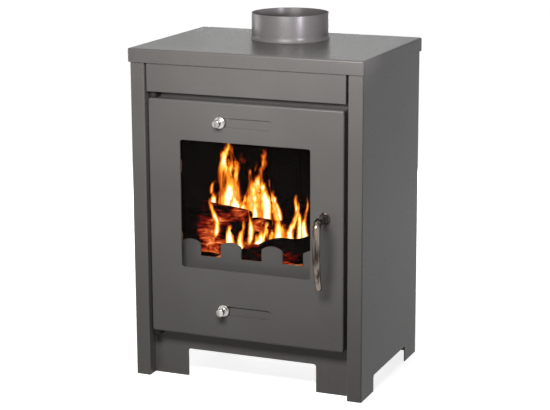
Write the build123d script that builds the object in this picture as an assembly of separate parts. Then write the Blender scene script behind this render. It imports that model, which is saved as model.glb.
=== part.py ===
from build123d import *
import math
import os

# Free-standing multi-fuel stove in folded sheet steel, with one glazed door.
# Millimetres. X runs to the right, Y runs back and Z runs up from the floor.
# Depths are measured back from the face, the plane that holds the posts and the door.

# Top plate, a tray folded down on four sides
top_width = 470
top_depth = 340
top_height = 640
top_lip = 26
top_sheet = 3
top_bend = 3.5
top_corner = 5

# Casing: two folded side panels, the front plate, the fascia and the rear panel
side_overhang = 3
front_overhang = 5
rear_overhang = 5
casing_sheet = 2
casing_bend = 3
casing_gap = 0.4
post_width = 29
recess = 26
rear_flange = 20
foot_side = 70
side_notch = 32
foot_front = 70.5
front_notch = 55
notch_corner = 5
plate_sheet = 3
fascia_height = 78
fascia_gap = 4
fascia_set = 0.5
base_sheet = 3
base_rise = 4

# Smoke way
flue_radius = 75
flue_wall = 2
flue_rise = 51
flue_in = 100
flue_flange = 6
flue_neck = 1
flue_clear = 0.4

# Firebox, grate and ash space
box_side = 43
box_wall = 4
box_rear = 14
roof_gap = 27
mouth_corner = 2
floor_sheet = 4
grate_drop = 26.3
grate_frame_sheet = 4
grate_side = 65
grate_rear = 24
grate_thick = 12
grate_lap = 10
grate_front = 80
grate_slot = 14
grate_bar = 17.5
grate_rim = 15
grate_edge = 1
brick_thick = 28
brick_drop = 2.5
brick_front = 47
baffle_thick = 20
baffle_front = 80
board_gap = 0.5
board_edge = 2

# Log fence with rounded teeth, behind the mouth
fence_side = 36
fence_sheet = 2.5
fence_set = 1
fence_rail = 42.5
fence_shoulder = 24
fence_arch = 7.5
fence_teeth = 4
fence_flange = 18

# Ash pan
pan_side = 43
pan_front = 60
pan_rear = 23
pan_height = 54
pan_sheet = 1.5
pan_rise = 0.2
grip_half = 45
grip_out = 12
grip_height = 14
grip_level = 26
grip_sheet = 2

# Door pan and its window
door_gap = 7
door_top_gap = 11.5
door_bottom = 92.5
door_sheet = 3
door_depth = 23
door_bend = 4
door_corner = 5
window_side = 65
window_rise = 133.8
window_drop = 75
window_corner = 5

# Glass, its tape and clips
glass_lap = 12
glass_thick = 4
glass_corner = 6
tape_thick = 2
tape_width = 9
clip_sheet = 2
clip_bend = 1.2
clip_width = 24
clip_lap = 10
clip_foot = 14
clip_spread = 140
screw_radius = 2.4
head_flats = 8
head_height = 3
hole_clear = 0.15

# Door liner, rope seal and its channel
liner_back = 12
liner_sheet = 2
liner_window_gap = 2
liner_screw_out = 14
liner_screw_spread = 220
rope_radius = 5.8
rope_sides = 8
rope_in = 18
rope_rise = 22
rope_drop = 24.5
rope_bend = 22
rope_clear = 0.3
channel_gap = 0.5
channel_wall = 2
channel_depth = 7
mouth_in = 7
air_ways = 3
air_way_length = 60
air_way_height = 8
air_way_pitch = 76

# Hinge: two pins in lugs on the front plate
hinge_in = 8
hinge_back = 9
pin_radius = 4
pin_clear = 0.05
pin_reach = 9
pin_head = 5.5
pin_head_height = 2
lug_radius = 7.5
lug_thick = 6
lug_gap = 2
washer_play = 0.2
block_width = 14
block_height = 7

# Air sliders behind slots in the door
slot_height = 18
slot_drop = 37.5
slot_rise = 56
travel_top = 97
travel_low = 89
strip_sheet = 2
strip_half_height = 15
strip_play = 0.2
strip_end = 15
guide_sheet = 2
guide_lap = 6
guide_width = 4

# Slider knobs
knob_flange_radius = 11.2
knob_flange = 3
knob_neck_radius = 4.6
knob_length = 20
knob_tip_radius = 7.1
knob_tip_length = 9
knob_edge = 1.2
stud_radius = 3
nut_flats = 10
nut_height = 4

# Lever handle, its spindle and latch cam
handle_in = 37.5
handle_low = 3.4
handle_out = 42
handle_radius = 7.5
handle_bend = 15
handle_straight = 46
handle_drop = 130
handle_curve = 230
handle_edge = 1.5
flare_radius = 10.6
flare_length = 9
flare_rim = 1
rosette_radius = 11.4
rosette_thick = 4
rosette_edge = 1
spindle_radius = 5
bush_wall = 4
bush_length = 21
bush_clear = 0.05
turn_gap = 0.3
cam_thick = 5
cam_reach = 22
cam_nose = 7
cam_hub = 8.5
cam_gap = 0.6
cam_nut_flats = 14
cam_nut_height = 6

# Rear panel screws
rear_screw_end = 107

# How far a cutter runs past a face
past = 1

# Worked out from the sizes above
body_half = top_width / 2 - side_overhang
body_depth = top_depth - front_overhang - rear_overhang
front_reach = handle_out + handle_radius
back_reach = body_depth + rear_overhang
face = (front_reach - back_reach) / 2
under_top = top_height - top_sheet
post_inner = body_half - post_width
plate_half = body_half - casing_sheet - casing_gap
rear_half = body_half - casing_bend
plate_back = recess + plate_sheet
rear_panel_back = body_depth - casing_sheet
rear_panel_front = rear_panel_back - casing_sheet
rear_screw_levels = (rear_screw_end, under_top - rear_screw_end)
flue_back = body_depth - flue_in
notch_half = post_inner - foot_front
fascia_bottom = under_top - fascia_height
fascia_half = post_inner - fascia_gap
base_level = front_notch + base_rise
base_top = base_level + base_sheet
door_half = post_inner - door_gap
door_top = fascia_bottom - door_top_gap
window_half = door_half - window_side
window_bottom = door_bottom + window_rise
window_top = door_top - window_drop
window_middle = (window_bottom + window_top) / 2
slot_top = door_top - slot_drop
slot_low = door_bottom + slot_rise
handle_x = door_half - handle_in
handle_z = window_middle - handle_low
box_half = body_half - casing_sheet - box_side
box_inner = box_half - box_wall
box_depth = rear_panel_front - box_rear
box_back = box_depth - box_wall
roof_level = top_height - top_sheet - roof_gap - box_wall
roof_top = roof_level + box_wall
rope_half = door_half - rope_in
rope_bottom = door_bottom + rope_rise
rope_top = door_top - rope_drop
mouth_half = rope_half - mouth_in
mouth_bottom = rope_bottom + mouth_in
mouth_top = rope_top - mouth_in
grate_level = window_bottom - grate_drop
grate_width = 2 * (box_inner - grate_side)
grate_depth = box_back - brick_thick - grate_rear - grate_front
fence_half = box_inner - fence_side
pan_half = box_inner - pan_side
pan_length = box_back - pan_rear - pan_front
brick_inner = box_inner - brick_thick
brick_top = window_top - brick_drop
hinge_x = -door_half + hinge_in
glass_half = window_half + glass_lap
glass_bottom = window_bottom - glass_lap
glass_top = window_top + glass_lap
glass_front = door_sheet + tape_thick
glass_back = glass_front + glass_thick
liner_rear = liner_back + liner_sheet
liner_side = rope_half + rope_radius + channel_gap + channel_wall
liner_bottom = rope_bottom - (liner_side - rope_half)
liner_top = rope_top + (liner_side - rope_half)
rope_back = recess - rope_clear - rope_radius
clip_screw_x = glass_half + liner_window_gap + clip_sheet + clip_foot / 2


def block(x, depth, z):
    """Box between two values each of x, depth behind the face and height."""
    corner = Pos(x[0], face + depth[0], z[0])
    return corner * Box(x[1] - x[0], depth[1] - depth[0], z[1] - z[0], align=(Align.MIN,) * 3)


def both(half):
    """Range from minus half to plus half."""
    return (-half, half)


def rod_back(x, z, radius, depth):
    """Round bar that runs back, between two depths."""
    bar = Cylinder(radius, depth[1] - depth[0], align=(Align.CENTER, Align.CENTER, Align.MIN))
    return Pos(x, face + depth[0], z) * Rot(-90, 0, 0) * bar


def rod_up(x, depth, radius, z):
    """Upright round bar between two heights."""
    bar = Cylinder(radius, z[1] - z[0], align=(Align.CENTER, Align.CENTER, Align.MIN))
    return Pos(x, face + depth, z[0]) * bar


def slab_back(sketch, x, z, depth):
    """Flat outline, drawn as width and height, given thickness between two depths."""
    return Pos(x, face + depth[1], z) * Rot(90, 0, 0) * extrude(sketch, depth[1] - depth[0])


def window_slab(half, bottom, top, corner, depth):
    """Rounded upright rectangle, centred on x, between two depths."""
    outline = RectangleRounded(2 * half, top - bottom, corner)
    return slab_back(outline, 0, (bottom + top) / 2, depth)


def folded(points, thickness, bend, z):
    """Sheet bent along a plan line of (x, depth) points, between two heights."""
    path = FilletPolyline(*[(x, face + depth) for x, depth in points], radius=bend)
    return Pos(0, 0, z[0]) * extrude(trace(path, thickness), z[1] - z[0])


def hex_nut(x, z, flats, bore, depth):
    """Hexagon nut on a bar that runs back."""
    outline = RegularPolygon(flats / 2, 6, major_radius=False, rotation=30) - Circle(bore)
    return slab_back(outline, x, z, depth)


def screw(x, z, seat, tip):
    """Hexagon screw with its head standing back from its seat."""
    outline = RegularPolygon(head_flats / 2, 6, major_radius=False, rotation=30)
    head = slab_back(outline, x, z, (seat, seat + head_height))
    return head + rod_back(x, z, screw_radius, (tip, seat))


def notch(half, height, depth):
    """Cutter for a leg notch that is open at the floor, with rounded upper corners."""
    outline = RectangleRounded(2 * half, 2 * height, notch_corner)
    return slab_back(outline, 0, 0, depth)


def top_plate():
    """Tray folded down on four sides, with the hole that the flue collar comes through."""
    front = -front_overhang
    back = body_depth + rear_overhang
    bottom = top_height - top_lip
    outer = block(both(top_width / 2), (front, back), (bottom, top_height))
    outer = fillet(outer.edges().filter_by(Axis.Z), top_corner)
    outer = fillet(outer.faces().sort_by(Axis.Z)[-1].edges(), top_bend)
    inner = block(
        both(top_width / 2 - top_sheet),
        (front + top_sheet, back - top_sheet),
        (bottom - past, under_top),
    )
    inner = fillet(inner.edges().filter_by(Axis.Z), top_corner - top_sheet)
    hole = rod_up(0, flue_back, flue_radius + flue_clear, (bottom, top_height + past))
    return outer - inner - hole


def flue_collar():
    """Spigot that stands on the firebox roof and takes the flue pipe, with a narrower neck in the casing."""
    z_top = top_height + flue_rise
    inside = flue_radius - flue_wall
    profile = Polyline(
        (inside, roof_top),
        (flue_radius + flue_flange, roof_top),
        (flue_radius + flue_flange, roof_top + flue_wall),
        (flue_radius - flue_neck, roof_top + flue_wall),
        (flue_radius - flue_neck, top_height),
        (flue_radius, top_height),
        (flue_radius, z_top),
        (inside, z_top),
        close=True,
    )
    ring = revolve(Plane.XZ * make_face(profile), Axis.Z)
    return Pos(0, face + flue_back, 0) * ring


def side_panel():
    """Right side panel: return, post, side and rear flange in one folded sheet."""
    half_sheet = casing_sheet / 2
    line = [
        (post_inner + half_sheet, recess),
        (post_inner + half_sheet, half_sheet),
        (body_half - half_sheet, half_sheet),
        (body_half - half_sheet, body_depth - half_sheet),
        (body_half - rear_flange, body_depth - half_sheet),
    ]
    panel = folded(line, casing_sheet, casing_bend - half_sheet, (0, under_top))
    gap = block(
        (body_half - 2 * casing_bend, body_half + past),
        (foot_side, body_depth - foot_side),
        (-side_notch, side_notch),
    )
    panel -= fillet(gap.edges().filter_by(Axis.X), notch_corner)
    for level in rear_screw_levels:
        panel -= rear_screw_hole(level)
    return panel


def rear_screw_hole(level):
    """Cutter for a rear panel screw in the right flange."""
    x = body_half - rear_flange / 2
    return rod_back(x, level, screw_radius + hole_clear, (rear_panel_front, body_depth))


def rear_panel():
    """Flat sheet inside the rear flanges, with its leg notch and screw holes."""
    panel = block(both(rear_half), (rear_panel_front, rear_panel_back), (0, under_top))
    panel -= notch(notch_half, front_notch, (rear_panel_front - past, rear_panel_back + past))
    for level in rear_screw_levels:
        hole = rear_screw_hole(level)
        panel -= hole
        panel -= mirror(hole, Plane.YZ)
    return panel


def rear_screws():
    """Screws through both rear flanges."""
    x = body_half - rear_flange / 2
    places = [(side * x, level) for side in (-1, 1) for level in rear_screw_levels]
    screws = [screw(x, level, body_depth, rear_panel_front) for x, level in places]
    return Compound(children=screws)


def front_plate():
    """Recessed plate that carries the hinge lugs, with the mouth and the leg notch."""
    depth = (recess - past, plate_back + past)
    plate = block(both(plate_half), (recess, plate_back), (0, under_top))
    plate -= window_slab(mouth_half, mouth_bottom, mouth_top, mouth_corner, depth)
    plate -= notch(notch_half, front_notch, depth)
    return plate


def fascia():
    """Folded panel between the posts, over the door."""
    shell = block(both(fascia_half), (fascia_set, recess), (fascia_bottom, under_top))
    front = shell.faces().sort_by(Axis.Y)[0]
    upper = front.edges().sort_by(Axis.Z)[-1]
    shell = fillet([e for e in front.edges() if e != upper], casing_sheet)
    hollow = block(
        both(fascia_half - casing_sheet),
        (fascia_set + casing_sheet, recess + past),
        (fascia_bottom + casing_sheet, under_top + past),
    )
    return shell - hollow


def base_plate():
    """Sheet that closes the casing over the leg notches and carries the firebox."""
    return block(both(plate_half), (plate_back, rear_panel_front), (base_level, base_top))


def firebox_side():
    """Right wall of the firebox."""
    return block((box_inner, box_half), (plate_back, box_depth), (base_top, roof_level))


def firebox_back():
    """Rear wall of the firebox, between the side walls."""
    return block(both(box_inner), (box_back, box_depth), (base_top, roof_level))


def firebox_roof():
    """Roof of the firebox, with the smoke hole under the collar."""
    roof = block(both(box_half), (plate_back, box_depth), (roof_level, roof_top))
    hole = rod_up(0, flue_back, flue_radius - flue_wall, (roof_level - past, roof_top + past))
    return roof - hole


def ash_floor():
    """Floor of the ash space, level with the sill of the mouth."""
    z = (mouth_bottom - floor_sheet, mouth_bottom)
    return block(both(box_inner), (plate_back, box_back), z)


def grate_middle():
    """Depth of the middle of the grate."""
    return grate_front + grate_depth / 2


def grate_frame():
    """Shelf that holds the grate and the boards, with the ash opening."""
    z = (grate_level - grate_frame_sheet, grate_level)
    shelf = block(both(box_inner), (plate_back, box_back), z)
    opening = block(
        both(grate_width / 2 - grate_lap),
        (grate_front + grate_lap, grate_front + grate_depth - grate_lap),
        (z[0] - past, z[1] + past),
    )
    return shelf - opening


def grate():
    """Cast grate: a rim with parallel bars and round-ended slots between them."""
    depth = (grate_front, grate_front + grate_depth)
    casting = block(both(grate_width / 2), depth, (grate_level, grate_level + grate_thick))
    casting = fillet(casting.edges().filter_by(Axis.Z), grate_rim / 2)
    casting = chamfer(casting.faces().sort_by(Axis.Z)[-1].edges(), grate_edge)
    pitch = grate_slot + grate_bar
    count = int((grate_width - 2 * grate_rim + grate_bar) // pitch)
    length = grate_depth - 2 * grate_rim
    cut = extrude(SlotOverall(length, grate_slot, rotation=90), grate_thick + 2 * past)
    for i in range(count):
        x = (i - (count - 1) / 2) * pitch
        casting -= Pos(x, face + grate_middle(), grate_level - past) * cut
    return casting


def side_brick():
    """Right side board of the fire space."""
    depth = (brick_front, box_back - brick_thick - board_gap)
    board = block((brick_inner, box_inner - board_gap), depth, (grate_level, brick_top))
    return chamfer(board.edges().filter_by(Axis.Z), board_edge)


def rear_brick():
    """Right half of the rear board."""
    depth = (box_back - brick_thick, box_back - board_gap)
    board = block((board_gap / 2, box_inner - board_gap), depth, (grate_level, brick_top))
    return chamfer(board.edges().filter_by(Axis.Z), board_edge)


def baffle():
    """Board that lies on the side boards and sends the smoke round its front edge."""
    depth = (baffle_front, box_back - board_gap)
    board = block(both(box_inner - board_gap), depth, (brick_top, brick_top + baffle_thick))
    return chamfer(board.faces().sort_by(Axis.Y)[0].edges(), board_edge)


def fence():
    """Log fence: a folded sheet with round-topped teeth and a flange at each end."""
    front = plate_back + fence_set
    pitch = 2 * fence_half / (fence_teeth - 0.5)
    tooth = pitch / 2
    outline = Pos(0, grate_level + fence_rail / 2) * Rectangle(2 * fence_half, fence_rail)
    rail_top = grate_level + fence_rail
    shoulder = rail_top + fence_shoulder
    for i in range(fence_teeth):
        x = (i - (fence_teeth - 1) / 2) * pitch
        left = (x - tooth / 2, shoulder)
        right = (x + tooth / 2, shoulder)
        sides = Polyline(left, (left[0], rail_top - past), (right[0], rail_top - past), right)
        arch = ThreePointArc(right, (x, shoulder + fence_arch), left)
        outline += make_face(sides + arch)
    body = slab_back(outline, 0, 0, (front, front + fence_sheet))
    flange = block(
        (fence_half - fence_sheet, fence_half),
        (front, front + fence_flange),
        (grate_level, rail_top),
    )
    return body + flange + mirror(flange, Plane.YZ)


def ash_pan():
    """Open tray that stands on the ash floor under the grate."""
    bottom = mouth_bottom + pan_rise
    depth = (pan_front, pan_front + pan_length)
    tray = block(both(pan_half), depth, (bottom, bottom + pan_height))
    tray = fillet(tray.edges().filter_by(Axis.Z), 2 * pan_sheet)
    hollow = block(
        both(pan_half - pan_sheet),
        (depth[0] + pan_sheet, depth[1] - pan_sheet),
        (bottom + pan_sheet, bottom + pan_height + past),
    )
    return tray - fillet(hollow.edges().filter_by(Axis.Z), pan_sheet)


def ash_pan_grip():
    """Bent strip on the front of the ash pan."""
    out = pan_front - grip_out + grip_sheet / 2
    x = grip_half - grip_sheet / 2
    z = mouth_bottom + grip_level
    line = [(-x, pan_front), (-x, out), (x, out), (x, pan_front)]
    return folded(line, grip_sheet, 2 * grip_sheet, (z, z + grip_height))


def slot_cutter(z, travel, height, depth):
    """Round-ended slot across the door, centred on x."""
    return slab_back(SlotCenterToCenter(travel, height), 0, z, depth)


def door_panel():
    """Outer door: a pan folded back on four sides, with the window and both air slots."""
    pan = block(both(door_half), (0, door_depth), (door_bottom, door_top))
    pan = fillet(pan.edges().filter_by(Axis.Y), door_corner)
    pan = fillet(pan.faces().sort_by(Axis.Y)[0].edges(), door_bend)
    hollow = block(
        both(door_half - door_sheet),
        (door_sheet, door_depth + past),
        (door_bottom + door_sheet, door_top - door_sheet),
    )
    pan -= fillet(hollow.edges().filter_by(Axis.Y), door_corner - door_sheet)
    through = (-past, door_sheet + past)
    pan -= window_slab(window_half, window_bottom, window_top, window_corner, through)
    pan -= slot_cutter(slot_top, travel_top, slot_height, through)
    pan -= slot_cutter(slot_low, travel_low, slot_height, through)
    pan -= rod_back(handle_x, handle_z, spindle_radius + turn_gap, through)
    hole = pin_radius + pin_clear
    pan -= rod_up(hinge_x, hinge_back, hole, (door_top - 2 * door_sheet, door_top + past))
    pan -= rod_up(hinge_x, hinge_back, hole, (door_bottom - past, door_bottom + 2 * door_sheet))
    return pan


def hinge_block(z):
    """Block in a corner of the door pan that a hinge pin turns in."""
    left = -door_half + door_sheet
    solid = block((left, left + block_width), (door_sheet, door_sheet + block_width), z)
    outer = solid.edges().filter_by(Axis.Y).sort_by(Axis.X)[:2]
    solid = chamfer(outer, door_corner - door_sheet)
    return solid - rod_up(hinge_x, hinge_back, pin_radius + pin_clear, (z[0] - past, z[1] + past))


def hinge_block_upper():
    """Pin block under the top flange of the door."""
    top = door_top - door_sheet
    return hinge_block((top - block_height, top))


def hinge_block_lower():
    """Pin block on the bottom flange of the door."""
    bottom = door_bottom + door_sheet
    return hinge_block((bottom, bottom + block_height))


def hinge_lug(z):
    """Lug on the front plate, rounded about the pin."""
    solid = block((hinge_x - lug_radius, hinge_x + lug_radius), (hinge_back, recess), z)
    solid += rod_up(hinge_x, hinge_back, lug_radius, z)
    return solid - rod_up(hinge_x, hinge_back, pin_radius, (z[0] - past, z[1] + past))


def upper_lug_level():
    """Lowest and highest level of the upper lug."""
    low = door_top + lug_gap
    return (low, low + lug_thick)


def lower_lug_level():
    """Lowest and highest level of the lower lug."""
    high = door_bottom - lug_gap
    return (high - lug_thick, high)


def hinge_pin_upper():
    """Upper pin, with a flat head on its lug."""
    high = upper_lug_level()[1]
    pin = rod_up(hinge_x, hinge_back, pin_radius, (door_top - pin_reach, high))
    return pin + rod_up(hinge_x, hinge_back, pin_head, (high, high + pin_head_height))


def hinge_pin_lower():
    """Lower pin, with a flat head under its lug."""
    low = lower_lug_level()[0]
    pin = rod_up(hinge_x, hinge_back, pin_radius, (low, door_bottom + pin_reach))
    return pin + rod_up(hinge_x, hinge_back, pin_head, (low - pin_head_height, low))


def hinge_washer():
    """Washer on the lower lug that the door turns on."""
    z = (door_bottom - lug_gap, door_bottom - washer_play)
    ring = rod_up(hinge_x, hinge_back, lug_radius, z)
    return ring - rod_up(hinge_x, hinge_back, pin_radius, (z[0] - past, z[1] + past))


def door_glass():
    """Ceramic glass pane behind the window."""
    depth = (glass_front, glass_back)
    return window_slab(glass_half, glass_bottom, glass_top, glass_corner, depth)


def glass_tape():
    """Flat gasket between the door and the glass."""
    depth = (door_sheet, glass_front)
    ring = window_slab(glass_half, glass_bottom, glass_top, glass_corner, depth)
    cut = window_slab(
        glass_half - tape_width,
        glass_bottom + tape_width,
        glass_top - tape_width,
        glass_corner,
        (depth[0] - past, depth[1] + past),
    )
    return ring - cut


def clip_places():
    """Side and height of each glass clip."""
    levels = (window_middle - clip_spread / 2, window_middle + clip_spread / 2)
    return [(side, level) for side in (-1, 1) for level in levels]


def glass_clips():
    """Stepped clips that hold the glass against the tape."""
    foot = door_sheet + clip_sheet / 2
    lip = glass_back + clip_sheet / 2
    riser = glass_half + liner_window_gap + clip_sheet / 2
    line = [
        (glass_half - clip_lap, lip),
        (riser, lip),
        (riser, foot),
        (riser + clip_sheet / 2 + clip_foot, foot),
    ]
    clips = []
    for side, level in clip_places():
        clip = folded(line, clip_sheet, clip_bend, (level - clip_width / 2, level + clip_width / 2))
        hole = rod_back(clip_screw_x, level, screw_radius + hole_clear, (0, glass_back))
        clip = clip - hole
        clips.append(clip if side > 0 else mirror(clip, Plane.YZ))
    return Compound(children=clips)


def glass_screws():
    """Screws of the glass clips."""
    seat = door_sheet + clip_sheet
    places = [(side * clip_screw_x, level) for side, level in clip_places()]
    screws = [screw(x, level, seat, door_sheet) for x, level in places]
    return Compound(children=screws)


def rope_ring(offset, depth):
    """Rounded upright ring outline, offset from the middle line of the rope."""
    return window_slab(
        rope_half + offset,
        rope_bottom - offset,
        rope_top + offset,
        rope_bend + offset,
        depth,
    )


def channel_rib(inner, depth):
    """Standing rib of the rope channel, with its inner side at an offset from the rope."""
    outer = rope_ring(inner + channel_wall, depth)
    return outer - rope_ring(inner, (depth[0] - past, depth[1] + past))


def liner_screw_places():
    """Position of each liner screw."""
    x = glass_half + liner_screw_out
    half = liner_screw_spread / 2
    levels = (window_middle - half, window_middle + half)
    return [(side * x, level) for side in (-1, 1) for level in levels]


def door_liner():
    """Inner sheet of the door, with the rope channel, the air holes and the window."""
    flange = liner_side
    low = liner_bottom
    high = liner_top
    shell = window_slab(flange, low, high, rope_bend, (door_sheet, liner_rear))
    shell -= window_slab(
        flange - liner_sheet,
        low + liner_sheet,
        high - liner_sheet,
        rope_bend - liner_sheet,
        (door_sheet - past, liner_back),
    )
    gap = rope_radius + channel_gap
    rib_depth = (liner_rear, liner_rear + channel_depth)
    shell += channel_rib(gap, rib_depth)
    shell += channel_rib(-gap - channel_wall, rib_depth)
    through = (liner_back - past, liner_rear + past)
    shell -= window_slab(
        glass_half + liner_window_gap,
        glass_bottom - liner_window_gap,
        glass_top + liner_window_gap,
        glass_corner,
        through,
    )
    shell -= rod_back(handle_x, handle_z, spindle_radius + bush_wall + turn_gap, through)
    for x, z in liner_screw_places():
        shell -= rod_back(x, z, screw_radius + hole_clear, through)
    for level in ((glass_top + rope_top) / 2, slot_low):
        z = (level - air_way_height / 2, level + air_way_height / 2)
        for i in range(air_ways):
            middle = (i - (air_ways - 1) / 2) * air_way_pitch
            x = (middle - air_way_length / 2, middle + air_way_length / 2)
            shell -= block(x, through, z)
    return shell


def liner_screws():
    """Screws that hold the liner to the door."""
    screws = [screw(x, z, liner_rear, door_sheet) for x, z in liner_screw_places()]
    return Compound(children=screws)


def door_seal():
    """Rope seal in its channel, closed on itself."""
    outline = RectangleRounded(2 * rope_half, rope_top - rope_bottom, rope_bend)
    path = Pos(0, face + rope_back, (rope_bottom + rope_top) / 2) * Rot(90, 0, 0) * outline.wire()
    start = path @ 0
    outline = RegularPolygon(rope_radius, rope_sides, major_radius=False, rotation=180 / rope_sides)
    section = Plane(origin=start, z_dir=path % 0) * outline
    return sweep(section, path, transition=Transition.ROUND)


def air_strip(z, travel):
    """Flat slider that covers a slot, with the hole of its knob stud."""
    half = travel / 2
    strip = block(
        (-half - strip_end, half + strip_end),
        (door_sheet + strip_play, door_sheet + strip_play + strip_sheet),
        (z - strip_half_height, z + strip_half_height),
    )
    return strip - rod_back(-half, z, stud_radius, (0, 2 * door_sheet + strip_sheet))


def air_guides(z, travel):
    """Two stepped rails that hold a slider against the door."""
    x = (-travel / 2 - strip_end - guide_width, 1.5 * travel + strip_end + guide_width)
    edge = strip_half_height + strip_play
    lip = door_sheet + strip_sheet + 2 * strip_play
    foot = block(x, (door_sheet, lip), (z + edge, z + edge + guide_width))
    cover = block(x, (lip, lip + guide_sheet), (z + edge - guide_lap, z + edge + guide_width))
    upper = foot + cover
    lower = mirror(upper, Plane.XY.offset(z))
    return Compound(children=[upper, lower])


def air_knob(z, travel):
    """Turned knob with a wide foot, a neck and a thick tip, on a stud through the slot."""
    foot = knob_flange + turn_gap
    neck = knob_length - knob_tip_length
    stud_end = door_sheet + strip_play + strip_sheet + nut_height
    profile = Polyline(
        (0, -stud_end),
        (stud_radius, -stud_end),
        (stud_radius, turn_gap),
        (knob_flange_radius, turn_gap),
        (knob_flange_radius, foot - knob_edge),
        (knob_flange_radius - knob_edge, foot),
        (knob_neck_radius, foot),
        (knob_neck_radius, neck),
        (knob_tip_radius, neck + knob_edge),
        (knob_tip_radius, knob_length - knob_edge),
        (knob_tip_radius - knob_edge, knob_length),
        (0, knob_length),
        close=True,
    )
    turned = revolve(Plane.XZ * make_face(profile), Axis.Z)
    return Pos(-travel / 2, face, z) * Rot(90, 0, 0) * turned


def knob_nut(z, travel):
    """Nut that clamps a slider to its knob."""
    seat = door_sheet + strip_play + strip_sheet
    return hex_nut(-travel / 2, z, nut_flats, stud_radius, (seat, seat + nut_height))


def handle_rosette():
    """Round seat of the handle on the door."""
    ring = rod_back(handle_x, handle_z, rosette_radius, (-rosette_thick, 0))
    ring = chamfer(ring.faces().sort_by(Axis.Y)[0].edges(), rosette_edge)
    bore = spindle_radius + turn_gap
    return ring - rod_back(handle_x, handle_z, bore, (-rosette_thick - past, 1))


def handle_lever():
    """Bent bar: a flared stem, a tight bend, a straight grip and a long inward curve."""
    stem_start = rosette_thick + turn_gap
    bend_start = handle_out - handle_bend
    turn = math.degrees(math.asin((handle_drop - handle_straight) / handle_curve))
    section = Circle(handle_radius)
    stem = Plane((stem_start, 0), z_dir=(1, 0, 0)) * extrude(section, bend_start - stem_start)
    elbow_axis = Axis((bend_start, -handle_bend, 0), (0, 0, -1))
    elbow = revolve(Plane((bend_start, 0), z_dir=(1, 0, 0)) * section, elbow_axis, 90)
    grip_end = Plane((handle_out, -handle_straight), z_dir=(0, -1, 0))
    grip = grip_end * extrude(section, -(handle_straight - handle_bend))
    curl_axis = Axis((handle_out - handle_curve, -handle_straight, 0), (0, 0, -1))
    curl = revolve(grip_end * section, curl_axis, turn)
    tip = curl.faces().sort_by(Axis.Y)[0]
    bar = stem + elbow + grip + chamfer(tip.edges(), handle_edge)
    flare = Polyline(
        (stem_start, 0),
        (stem_start, flare_radius),
        (stem_start + flare_rim, flare_radius),
        (stem_start + flare_length, handle_radius),
        (stem_start + flare_length, 0),
        close=True,
    )
    bar += revolve(make_face(flare), Axis.X)
    upright = Plane(origin=(handle_x, face, handle_z), x_dir=(0, -1, 0), z_dir=(-1, 0, 0))
    return upright * bar


def handle_spindle():
    """Spindle from the lever to the latch cam."""
    end = plate_back + cam_gap + cam_thick + cam_nut_height
    return rod_back(handle_x, handle_z, spindle_radius, (-rosette_thick - turn_gap, end))


def spindle_bush():
    """Tube behind the door face that the spindle turns in."""
    depth = (door_sheet, door_sheet + bush_length)
    tube = rod_back(handle_x, handle_z, spindle_radius + bush_wall, depth)
    return tube - rod_back(handle_x, handle_z, spindle_radius + bush_clear, (0, depth[1] + past))


def latch_cam():
    """Cam whose nose hangs down at rest and catches behind the edge of the mouth when turned."""
    depth = (plate_back + cam_gap, plate_back + cam_gap + cam_thick)
    arm = cam_reach - cam_nose
    outline = Circle(cam_hub)
    outline += Pos(0, -arm) * Circle(cam_nose)
    outline += Pos(0, -arm / 2) * Rectangle(2 * cam_nose, arm)
    outline -= Circle(spindle_radius)
    return slab_back(outline, handle_x, handle_z, depth)


def cam_nut():
    """Nut that holds the cam on the spindle."""
    seat = plate_back + cam_gap + cam_thick
    depth = (seat, seat + cam_nut_height)
    return hex_nut(handle_x, handle_z, cam_nut_flats, spindle_radius, depth)


def parts():
    """Each sub-part by its name."""
    side = side_panel()
    wall = firebox_side()
    board = side_brick()
    rear_board = rear_brick()
    return {
        "top_plate": top_plate(),
        "flue_collar": flue_collar(),
        "side_panel_right": side,
        "side_panel_left": mirror(side, Plane.YZ),
        "front_plate": front_plate(),
        "fascia": fascia(),
        "rear_panel": rear_panel(),
        "rear_panel_screws": rear_screws(),
        "base_plate": base_plate(),
        "firebox_side_right": wall,
        "firebox_side_left": mirror(wall, Plane.YZ),
        "firebox_back": firebox_back(),
        "firebox_roof": firebox_roof(),
        "ash_floor": ash_floor(),
        "grate_frame": grate_frame(),
        "grate": grate(),
        "side_board_right": board,
        "side_board_left": mirror(board, Plane.YZ),
        "rear_board_right": rear_board,
        "rear_board_left": mirror(rear_board, Plane.YZ),
        "baffle": baffle(),
        "log_fence": fence(),
        "hinge_lug_upper": hinge_lug(upper_lug_level()),
        "hinge_lug_lower": hinge_lug(lower_lug_level()),
        "hinge_pin_upper": hinge_pin_upper(),
        "hinge_pin_lower": hinge_pin_lower(),
        "hinge_washer": hinge_washer(),
        "ash_pan": ash_pan(),
        "ash_pan_grip": ash_pan_grip(),
        "door_panel": door_panel(),
        "hinge_block_upper": hinge_block_upper(),
        "hinge_block_lower": hinge_block_lower(),
        "door_glass": door_glass(),
        "glass_tape": glass_tape(),
        "glass_clips": glass_clips(),
        "glass_clip_screws": glass_screws(),
        "door_liner": door_liner(),
        "liner_screws": liner_screws(),
        "door_seal": door_seal(),
        "air_guides_upper": air_guides(slot_top, travel_top),
        "air_guides_lower": air_guides(slot_low, travel_low),
        "spindle_bush": spindle_bush(),
        "handle_rosette": handle_rosette(),
        "air_strip_upper": air_strip(slot_top, travel_top),
        "air_knob_upper": air_knob(slot_top, travel_top),
        "knob_nut_upper": knob_nut(slot_top, travel_top),
        "air_strip_lower": air_strip(slot_low, travel_low),
        "air_knob_lower": air_knob(slot_low, travel_low),
        "knob_nut_lower": knob_nut(slot_low, travel_low),
        "handle_lever": handle_lever(),
        "handle_spindle": handle_spindle(),
        "latch_cam": latch_cam(),
        "cam_nut": cam_nut(),
    }


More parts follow.
